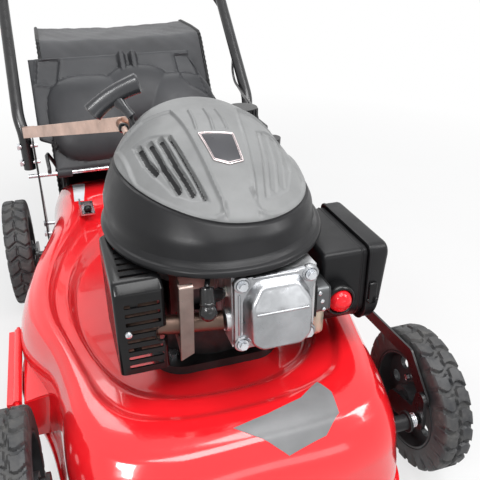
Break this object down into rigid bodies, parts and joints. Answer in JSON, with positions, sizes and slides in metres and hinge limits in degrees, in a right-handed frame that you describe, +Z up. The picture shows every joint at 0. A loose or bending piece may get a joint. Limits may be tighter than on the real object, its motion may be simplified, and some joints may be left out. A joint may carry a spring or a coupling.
{
  "type": "push lawn mower",
  "caption": "Push lawn mower with a steel deck, vertical crankshaft petrol engine, recoil starter, height-adjustable wheels, folding handle and rear grass catcher.",
  "frame": {"origin": "middle of the footprint, on the ground under the tyres", "axes": "+Z up, the front of the mower faces -Y, the handle rises towards +Y, +X to the right of someone looking at the front from -Y"},
  "size_m": [0.574, 1.4509, 1.0155],
  "materials": {
    "deck_paint": "gloss",
    "cast_aluminium": "cast",
    "cover_aluminium": "satin",
    "zinc_plate": "zinc plated",
    "plug_ceramic": "glazed ceramic",
    "black_rubber": "satin",
    "coil_steel": "satin",
    "hot_steel": "heat stained",
    "black_metal": "semi-gloss",
    "zinc_casting": "cast",
    "black_plastic": "satin",
    "filter_foam": "foam",
    "red_rubber": "gloss",
    "gloss_black_plastic": "gloss",
    "grey_plastic": "satin",
    "rope": "braided",
    "forged_steel": "machined",
    "cast_wheel": "cast",
    "blade_steel": "oiled",
    "stay_steel": "yellow zinc",
    "tyre_rubber": "dusty",
    "rim_plastic": "satin",
    "handle_paint": "gloss",
    "lid_plastic": "moulded",
    "catcher_fabric": "woven",
    "frame_wire": "semi-gloss"
  },
  "bodies": {
    "frame": {"deck_shell": "deck_paint", "crankcase": "cast_aluminium", "engine_barrel": "cast_aluminium", "valve_cover": "cover_aluminium", "flange_bolts": "zinc_plate", "spark_plug": "plug_ceramic", "spark_boot": "black_rubber", "ignition_coil": "coil_steel", "muffler": "hot_steel", "muffler_guard": "black_metal", "heat_plate": "hot_steel", "carburettor": "zinc_casting", "air_filter_base": "black_plastic", "filter_element": "filter_foam", "fuel_tank": "black_plastic", "engine_shroud": "black_plastic", "top_cover": "grey_plastic", "starter_housing": "coil_steel", "starter_rope": "rope", "cable_bracket": "zinc_plate", "handle_stay": "stay_steel", "handle_brackets": "black_metal", "flap_rod": "zinc_plate", "axle_bushes": "black_plastic", "height_sector": "zinc_plate", "axle_spring": "zinc_plate", "lower_handle_left": "handle_paint", "lower_handle_right": "handle_paint", "brake_cable": "black_rubber"},
    "rotor": {"crankshaft": "forged_steel", "flywheel": "cast_wheel", "blade_adapter": "cast_wheel", "blade": "blade_steel", "blade_bolt": "forged_steel"},
    "rear_axle_set": {"rear_axle": "black_metal", "height_lever": "black_metal"},
    "front_axle_set": {"front_axle": "black_metal"},
    "side_link": {"side_link": "black_metal"},
    "front_left_wheel": {"front_left_tyre": "tyre_rubber", "front_left_rim": "rim_plastic"},
    "front_right_wheel": {"front_right_tyre": "tyre_rubber", "front_right_rim": "rim_plastic"},
    "rear_left_wheel": {"rear_left_tyre": "tyre_rubber", "rear_left_rim": "rim_plastic"},
    "rear_right_wheel": {"rear_right_tyre": "tyre_rubber", "rear_right_rim": "rim_plastic"},
    "rear_flap": {"rear_flap": "lid_plastic"},
    "side_flap": {"side_flap": "deck_paint"},
    "upper_handle": {"upper_handle": "handle_paint"},
    "bail_bar": {"bail_bar": "handle_paint"},
    "fold_knob_left": {"fold_knob_left": "gloss_black_plastic"},
    "fold_knob_right": {"fold_knob_right": "gloss_black_plastic"},
    "starter_grip": {"starter_grip": "gloss_black_plastic"},
    "starter_pulley": {"starter_pulley": "black_plastic"},
    "primer_bulb": {"primer_bulb": "red_rubber"},
    "fuel_cap": {"fuel_cap": "gloss_black_plastic"},
    "oil_dipstick": {"oil_dipstick": "gloss_black_plastic"},
    "air_filter_cover": {"air_filter_cover": "black_plastic"},
    "catcher": {"catcher_frame": "frame_wire", "catcher_bag": "catcher_fabric"}
  },
  "joints": [
    {"name": "blade_spin", "type": "hinge", "parent": "frame", "child": "rotor", "pos_m": [0, -0.45627, 0.2], "axis": [0, 0, 1], "continuous": true},
    {"name": "height_adjust", "type": "hinge", "parent": "frame", "child": "rear_axle_set", "pos_m": [0, -0.02927, 0.119], "axis": [1, 0, 0], "range_deg": [-20, 20]},
    {"name": "front_axle_swing", "type": "hinge", "parent": "frame", "child": "front_axle_set", "pos_m": [0, -0.64527, 0.114], "axis": [1, 0, 0], "range_deg": [-22, 22]},
    {"name": "link_pivot", "type": "hinge", "parent": "rear_axle_set", "child": "side_link", "pos_m": [0.237, -0.02927, 0.151], "axis": [1, 0, 0], "range_deg": [-22, 22]},
    {"name": "front_left_spin", "type": "hinge", "parent": "front_axle_set", "child": "front_left_wheel", "pos_m": [-0.265, -0.59327, 0.1], "axis": [1, 0, 0], "continuous": true},
    {"name": "front_right_spin", "type": "hinge", "parent": "front_axle_set", "child": "front_right_wheel", "pos_m": [0.265, -0.59327, 0.1], "axis": [1, 0, 0], "continuous": true},
    {"name": "rear_left_spin", "type": "hinge", "parent": "rear_axle_set", "child": "rear_left_wheel", "pos_m": [-0.264, 0.02273, 0.105], "axis": [1, 0, 0], "continuous": true},
    {"name": "rear_right_spin", "type": "hinge", "parent": "rear_axle_set", "child": "rear_right_wheel", "pos_m": [0.264, 0.02273, 0.105], "axis": [1, 0, 0], "continuous": true},
    {"name": "rear_flap_lift", "type": "hinge", "parent": "frame", "child": "rear_flap", "pos_m": [0, 0.02373, 0.262], "axis": [1, 0, 0], "range_deg": [0, 50]},
    {"name": "side_flap_lift", "type": "hinge", "parent": "frame", "child": "side_flap", "pos_m": [-0.268, -0.38427, 0.128], "axis": [0, 1, 0], "range_deg": [0, 75]},
    {"name": "handle_fold", "type": "hinge", "parent": "frame", "child": "upper_handle", "pos_m": [0, 0.28277, 0.59024], "axis": [1, 0, 0], "range_deg": [0, 140], "deforming": ["brake_cable"]},
    {"name": "bail_pull", "type": "hinge", "parent": "upper_handle", "child": "bail_bar", "pos_m": [0, 0.61919, 0.90396], "axis": [-1, 0, 0], "range_deg": [0, 33], "stiffness_Nm_per_rad": 3, "springref_deg": -20.05},
    {"name": "fold_knob_left_turn", "type": "hinge", "parent": "frame", "child": "fold_knob_left", "pos_m": [-0.238, 0.28277, 0.59024], "axis": [1, 0, 0], "continuous": true},
    {"name": "fold_knob_right_turn", "type": "hinge", "parent": "frame", "child": "fold_knob_right", "pos_m": [0.238, 0.28277, 0.59024], "axis": [1, 0, 0], "continuous": true},
    {"name": "starter_pull", "type": "slide", "parent": "frame", "child": "starter_grip", "axis": [-0.25, 0.6, 0.76], "range_m": [0, 0.3], "stiffness_N_per_m": 25, "springref_m": -0.25, "deforming": ["starter_rope"]},
    {"name": "starter_pulley_turn", "type": "hinge", "parent": "frame", "child": "starter_pulley", "pos_m": [0, -0.45627, 0.42], "axis": [0, 0, 1], "range_deg": [0, 400]},
    {"name": "primer_press", "type": "slide", "parent": "frame", "child": "primer_bulb", "axis": [0, 1, 0], "range_m": [0, 0.008], "stiffness_N_per_m": 1200, "springref_m": -0.002},
    {"name": "fuel_cap_turn", "type": "hinge", "parent": "frame", "child": "fuel_cap", "pos_m": [0.116, -0.26227, 0.426], "axis": [0, 0, 1], "range_deg": [0, 120]},
    {"name": "dipstick_pull", "type": "slide", "parent": "frame", "child": "oil_dipstick", "axis": [-0.1143, 0.6733, 0.7305], "range_m": [0, 0.12]},
    {"name": "filter_cover_pull", "type": "slide", "parent": "frame", "child": "air_filter_cover", "axis": [1, 0, 0], "range_m": [0, 0.05]},
    {"name": "catcher_lift", "type": "slide", "parent": "frame", "child": "catcher", "axis": [0, 0.866, 0.5], "range_m": [0, 0.35]}
  ],
  "couplings": [
    {"joint": "front_axle_swing", "follows": "height_adjust", "ratio": 1},
    {"joint": "link_pivot", "follows": "height_adjust", "ratio": -1},
    {"joint": "starter_pulley_turn", "follows": "starter_pull", "rad_per_m": 22.989}
  ]
}
